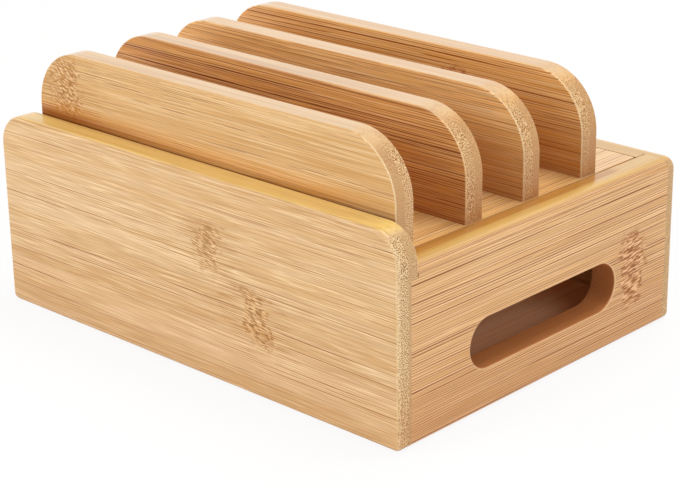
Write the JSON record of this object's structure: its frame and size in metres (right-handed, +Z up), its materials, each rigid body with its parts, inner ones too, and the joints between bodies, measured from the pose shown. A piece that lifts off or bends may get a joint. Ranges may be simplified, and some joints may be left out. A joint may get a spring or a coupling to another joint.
{
  "type": "charging station organizer",
  "caption": "Bamboo desktop charging station: an open box with side cord slots, under a lift-out lid with upright dividers for phones and tablets.",
  "frame": {"origin": "middle of the footprint, on the surface that the box stands on", "axes": "+Z up, +X to the right of a person facing the tall front panel, +Y towards the rear panel"},
  "size_m": [0.23, 0.174, 0.1152],
  "materials": {
    "panel_bamboo": "clear satin lacquer on laminated bamboo",
    "divider_bamboo": "clear satin lacquer on laminated bamboo",
    "lid_bamboo": "clear satin lacquer on laminated bamboo",
    "inner_bamboo": "sanded bamboo",
    "steel": "zinc plated"
  },
  "bodies": {
    "base": {"front_panel": "panel_bamboo", "rear_panel": "panel_bamboo", "left_side_panel": "panel_bamboo", "right_side_panel": "panel_bamboo", "bottom_panel": "inner_bamboo", "left_lid_ledge": "inner_bamboo", "right_lid_ledge": "inner_bamboo"},
    "lid": {"lid_board": "lid_bamboo", "front_divider": "divider_bamboo", "second_divider": "divider_bamboo", "third_divider": "divider_bamboo", "rear_divider": "divider_bamboo", "divider_screws": "steel"}
  },
  "joints": [
    {"name": "lid_lift", "type": "slide", "parent": "base", "child": "lid", "axis": [0, 0, 1], "range_m": [0, 0.0519]}
  ]
}
